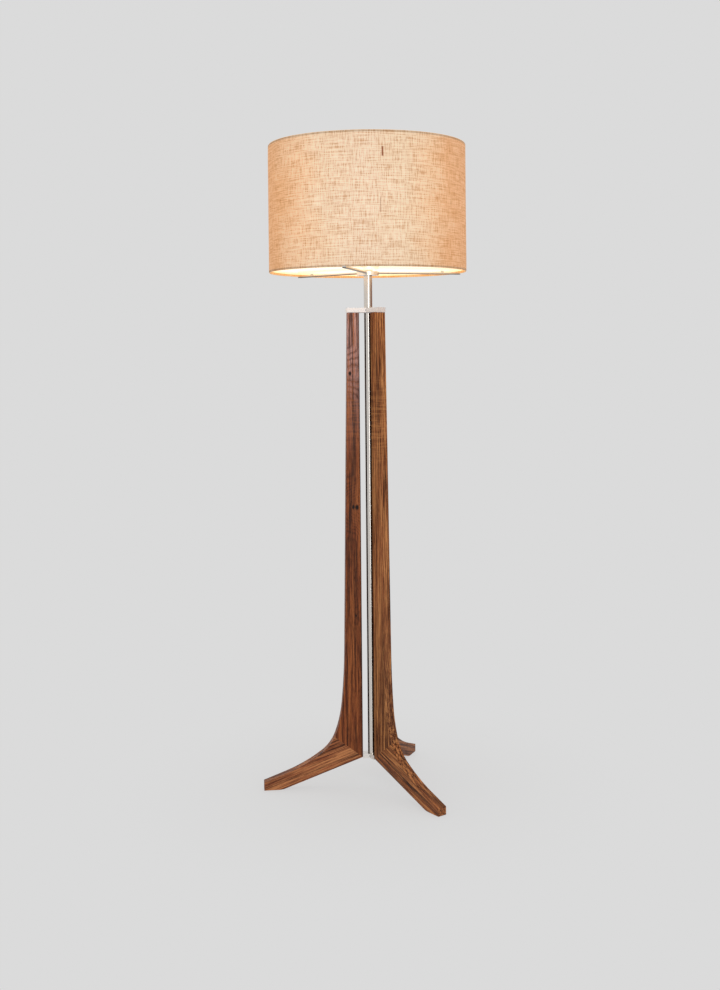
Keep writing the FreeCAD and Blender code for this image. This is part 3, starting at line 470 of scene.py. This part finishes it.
def burlap():
    """Plain-woven burlap with uneven threads, slubs and flecks, lit through from the drum's inside."""
    cloth = Tree("burlap")
    x, y, height = cloth.separate(cloth.point)
    angle = cloth.math("ARCTAN2", x, cloth.math("MULTIPLY", y, -1.0))
    round_it = cloth.math("MULTIPLY", angle, SHADE_RADIUS)
    flat = cloth.combine(round_it, height)

    sway = cloth.noise(cloth.scaled(flat, (14, 14, 1)), detail=2)
    warp_at = cloth.math("DIVIDE", cloth.math("MULTIPLY_ADD", sway, 0.004, round_it), THREAD_PITCH)
    weft_at = cloth.math("DIVIDE", cloth.math("MULTIPLY_ADD", sway, 0.004, height), THREAD_PITCH)
    warp = cloth.math("ABSOLUTE", cloth.math("SINE", cloth.math("MULTIPLY", warp_at, math.pi)))
    weft = cloth.math("ABSOLUTE", cloth.math("SINE", cloth.math("MULTIPLY", weft_at, math.pi)))
    square = cloth.math("ADD", cloth.math("FLOOR", warp_at), cloth.math("FLOOR", weft_at))
    warp_on_top = cloth.math("PINGPONG", square, 1.0)
    weave = cloth.add("Mix", {0: warp_on_top, 2: weft, 3: warp}).outputs[0]
    gap_shade = cloth.between(cloth.math("MULTIPLY", warp, weft), 0.0, 0.32, 1.0, 0.0)

    weft_slub = cloth.noise(cloth.scaled(flat, (15, 400, 1)), detail=4, roughness=0.75)
    warp_slub = cloth.noise(cloth.scaled(flat, (400, 30, 1), (5, 5, 5)), detail=4, roughness=0.75)
    wide_weft = cloth.noise(cloth.scaled(flat, (9, 210, 1), (2, 7, 1)), detail=2, roughness=0.6)
    wide_warp = cloth.noise(cloth.scaled(flat, (210, 9, 1), (8, 3, 2)), detail=2, roughness=0.6)
    fleck = cloth.between(cloth.noise(cloth.scaled(flat, (240, 170, 1)), detail=1), 0.70, 0.78)
    patch = cloth.noise(cloth.scaled(flat, (7, 9, 1), (1, 4, 0)), detail=3)

    thick = cloth.math("ADD", cloth.between(weft_slub, 0.40, 0.62), cloth.between(warp_slub, 0.42, 0.64))
    broad = cloth.math("ADD", cloth.between(wide_weft, 0.35, 0.65), cloth.between(wide_warp, 0.35, 0.65))
    tint = cloth.ramp(cloth.math("MULTIPLY", thick, 0.5),
                      [(0.1, BURLAP_PALE), (0.5, BURLAP_MID), (0.95, BURLAP_DARK)])
    tint = cloth.mix(cloth.between(broad, 0.8, 1.8, 0.0, 0.1), tint, BURLAP_DARK)
    # painted shade in the gaps between the threads
    tint = cloth.mix(cloth.math("MULTIPLY", gap_shade, 0.3), tint, BURLAP_DARK)
    tint = cloth.mix(cloth.math("MULTIPLY", fleck, 0.6), tint, SLUB_BROWN)

    slub = 0.0
    for turned, share, length, width, strength in SLUBS:
        centre = SHADE_LOW + share * (SHADE_HIGH - SHADE_LOW)
        aside = cloth.apart(round_it, turned * SHADE_RADIUS)
        above = cloth.apart(height, centre)
        in_width = cloth.between(aside, width * 0.35, width * 0.8, 1.0, 0.0)
        in_length = cloth.between(above, length * 0.4, length * 0.55, strength, 0.0)
        slub = cloth.math("MAXIMUM", slub, cloth.math("MULTIPLY", in_width, in_length))
    tint = cloth.mix(slub, tint, SLUB_BROWN)

    from_edge = cloth.math("MINIMUM", cloth.math("SUBTRACT", height, SHADE_LOW),
                           cloth.math("SUBTRACT", SHADE_HIGH, height))
    single_layer = cloth.between(from_edge, HEM_HEIGHT * 0.8, HEM_HEIGHT * 1.2, 0.35, 1.0)
    from_middle = cloth.apart(height, SHADE_MIDDLE)
    glow = cloth.math("MULTIPLY", cloth.between(from_middle, 0.04, 0.17, 0.54, 0.505), single_layer)
    glow = cloth.math("MULTIPLY", glow, cloth.between(thick, 0.2, 1.8, 1.23, 0.79))
    glow = cloth.math("MULTIPLY", glow, cloth.math("MULTIPLY_ADD", slub, -0.5, 1.0))
    # painted light and shade round the drum: GLOW_ROUND by angle from the front, folded front to back
    front_angle = cloth.math("ARCTAN2", x, cloth.math("ABSOLUTE", y))
    front_angle = cloth.math("ADD", front_angle, cloth.between(patch, 0.3, 0.7, -0.1, 0.1))
    place = cloth.math("MULTIPLY_ADD", front_angle, 1 / math.pi, 0.5)
    lit = cloth.ramp(place, [(degrees / 180 + 0.5, colour) for degrees, colour in GLOW_ROUND])
    lit = cloth.mix(cloth.between(thick, 0.9, 1.9, 0.0, 0.5), lit, THREAD_GLOW)
    lit = cloth.mix(slub, lit, SLUB_GLOW)
    folded_in = cloth.between(cloth.from_axis(), SHADE_RADIUS - 0.0035, SHADE_RADIUS - 0.0015, 1.0, 0.0)
    lit = cloth.mix(folded_in, lit, FOLD_GLOW)
    glow = cloth.math("MAXIMUM", glow, cloth.math("MULTIPLY", folded_in, FOLD_GLOW_STRENGTH))

    fuzz = cloth.noise(cloth.scaled(flat, (2400, 2400, 1)), detail=2)
    relief = cloth.math("MULTIPLY_ADD", thick, 0.6, weave)
    relief = cloth.math("MULTIPLY_ADD", fuzz, 0.3, relief)
    return cloth.finish(Base_Color=tint, Roughness=0.92, Normal=cloth.bump(relief, 0.00035),
                        Emission_Color=lit, Emission_Strength=glow, Sheen_Weight=0.1, Sheen_Roughness=0.5)


def lathe(name, profile, segments, wobble):
    """A closed ring of mesh: profile is a closed loop of (radius, height), turned round the lamp's axis.

    wobble gives how far a point stands out, from its angle and height.
    """
    points, faces = [], []
    count = len(profile)
    for step in range(segments):
        angle = 2 * math.pi * step / segments
        for radius, height in profile:
            reach = radius + wobble(angle, height)
            points.append((reach * math.sin(angle), -reach * math.cos(angle), height))
    for step in range(segments):
        following = (step + 1) % segments
        for index in range(count):
            ahead = (index + 1) % count
            faces.append((step * count + index, following * count + index,
                          following * count + ahead, step * count + ahead))
    mesh = bpy.data.meshes.new(name)
    mesh.from_pydata(points, [], faces)
    mesh.polygons.foreach_set("use_smooth", [True] * len(faces))
    return put_in_scene(name, mesh)


def shade_fabric():
    """The burlap: a drum whose top and bottom edges roll over the wire rings and tuck inside."""
    thickness = 0.0008
    roll = 0.0017  # half the height of a rolled edge
    tuck = 0.011
    lap = 0.006  # half the width of the glued overlap at the back
    lap_rise = 0.0005
    lap_fade = 0.002  # the width in which the overlap runs out
    unevenness = 0.0003
    held_flat = 0.03  # the cloth lies true this near to its edges
    inside = SHADE_RADIUS - thickness
    deep = inside - 2 * roll

    def roll_over(edge, sign):
        """Outer wall, over the ring and down behind it, then back under the cloth."""
        middle = inside - roll
        outer = [(middle + (roll + thickness) * math.cos(turn), edge + sign * (roll * math.sin(turn) - roll))
                 for turn in (math.radians(10 * k) for k in range(0, 19))]
        inner = [(middle + roll * math.cos(turn), edge + sign * ((roll - thickness) * math.sin(turn) - roll))
                 for turn in (math.radians(10 * k) for k in range(18, -1, -1))]
        tail_out = (deep - thickness, edge - sign * tuck)
        tail_in = (deep, edge - sign * tuck)
        return outer + [tail_out, tail_in] + inner

    rows = 24
    segments = 360
    top = roll_over(SHADE_HIGH, 1)
    bottom = roll_over(SHADE_LOW, -1)
    straight = SHADE_HIGH - SHADE_LOW - 4 * roll
    wall = [SHADE_LOW + 2 * roll + straight * row / rows for row in range(rows + 1)]
    outer_wall = [(SHADE_RADIUS, height) for height in wall]
    inner_wall = [(inside, height) for height in reversed(wall)]
    profile = outer_wall + top + inner_wall + list(reversed(bottom))

    def wobble(angle, height):
        behind = abs(angle - math.pi) * SHADE_RADIUS
        lapped = lap_rise * max(0.0, 1 - max(0.0, behind - lap) / lap_fade)
        ease = min(1.0, (height - SHADE_LOW) / held_flat, (SHADE_HIGH - height) / held_flat)
        waves = math.sin(7 * angle + 4 * height) + 0.6 * math.sin(13 * angle - 9 * height)
        return lapped + unevenness * max(0.0, ease) * waves

    piece = lathe("burlap_drum", profile, segments, wobble)
    piece.data.materials.append(burlap())
    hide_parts("shade_fabric")
    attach(piece, "shade")


def dress_shade():
    dress(liner_styrene(), "shade_liner")
    dress(enamelled_wire(), "shade_ring_bottom", "shade_ring_top")
    dress(opal_acrylic(), "diffuser")
    dress(frosted_globe(), "bulb_globe")


# ---- room, lights and camera --------------------------------------------------------------------
def room_floor():
    """A plain pale floor that fades into the room's grey away from the lamp."""
    floor = Tree("floor_paint")
    grain = floor.noise(floor.point, scale=260, detail=3)
    cloud = floor.noise(floor.point, scale=0.8, detail=3)
    far = floor.add("Emission", {0: ROOM_GREY}).outputs[0]
    tint = floor.between(cloud, 0.2, 0.8, 0.735, 0.75)
    near = floor.finish(Base_Color=floor.combine(tint, tint, tint), Roughness=0.7,
                        Specular_IOR_Level=0.2, Normal=floor.bump(grain, 0.0001))
    share_far = floor.between(floor.from_axis(), 0.1, 0.75, 0.75, 1.0)
    blended = floor.add("MixShader", {0: share_far, 1: floor.shader.outputs[0], 2: far})
    output = floor.tree.nodes["Material Output"]
    floor.tree.links.new(blended.outputs[0], output.inputs["Surface"])

    bpy.ops.mesh.primitive_circle_add(vertices=128, radius=FLOOR_RADIUS, fill_type="NGON")
    disc = bpy.context.object
    disc.name = "floor"
    disc.data.materials.append(near)


def soft_light(name, azimuth, distance, height, size, power, aim):
    """A soft oblong light, turned to the point of the lamp's axis at the height of aim."""
    light = bpy.data.lights.new(name, "AREA")
    light.shape = "RECTANGLE"
    light.size, light.size_y = size
    light.energy = power
    lamp = put_in_scene(name, light)
    lamp.location = around_lamp(math.radians(azimuth), distance, height)
    lamp.rotation_euler = (Vector((0, 0, aim)) - lamp.location).to_track_quat("-Z", "Y").to_euler()


def brown_wall():
    """A dim brown wall off to the right, there only for the metal to reflect."""
    bpy.ops.mesh.primitive_plane_add(size=1)
    wall = bpy.context.object
    wall.name = "brown_wall"
    wall.scale = WALL_SIZE
    wall.location = around_lamp(WALL_AZIMUTH, WALL_DISTANCE, WALL_HEIGHT)
    wall.rotation_euler = (math.radians(90), 0, WALL_AZIMUTH)
    paint = Tree("wall_paint")
    grain = paint.noise(paint.point, scale=40, detail=3)
    tint = paint.mix(grain, srgb(146, 108, 92), srgb(158, 120, 102))
    wall.data.materials.append(paint.finish(Base_Color=tint, Roughness=0.9))
    wall.visible_camera = False
    wall.visible_diffuse = False
    wall.visible_shadow = False
    wall.visible_transmission = False


def studio():
    world = bpy.data.worlds.new("room")
    world.use_nodes = True
    background = world.node_tree.nodes["Background"]
    background.inputs["Color"].default_value = ROOM_GREY
    background.inputs["Strength"].default_value = 1.0
    bpy.context.scene.world = world
    soft_light("overhead", 180, 0.6, 3.4, (2.2, 2.2), 16, 0.0)
    soft_light("window", 8, 3.6, 1.3, (1.6, 2.6), 30, 0.9)

    bulb = bpy.data.lights.new("bulb_light", "POINT")
    bulb.energy = BULB_POWER
    bulb.color = BULB_COLOUR
    bulb.shadow_soft_size = BULB_LIGHT_SIZE
    put_in_scene("bulb_light", bulb).location = (0, 0, BULB_HIGH.z + BULB_LIGHT_RISE)


def camera():
    lens = bpy.data.cameras.new("camera")
    lens.lens = CAMERA_LENS
    lens.sensor_width = CAMERA_SENSOR
    lens.shift_x, lens.shift_y = CAMERA_SHIFT
    viewer = put_in_scene("camera", lens)
    viewer.location = around_lamp(CAMERA_AZIMUTH, CAMERA_DISTANCE, EYE_HEIGHT)
    level = Euler((math.radians(90), 0, CAMERA_AZIMUTH)).to_matrix()
    viewer.rotation_euler = (level @ Matrix.Rotation(CAMERA_ROLL, 3, "Z")).to_euler()
    bpy.context.scene.camera = viewer


dress_legs()
dress_metals()
dress_plastics()
dress_shade()
shade_fabric()
room_floor()
brown_wall()
studio()
camera()
bpy.context.scene.view_settings.view_transform = "Standard"
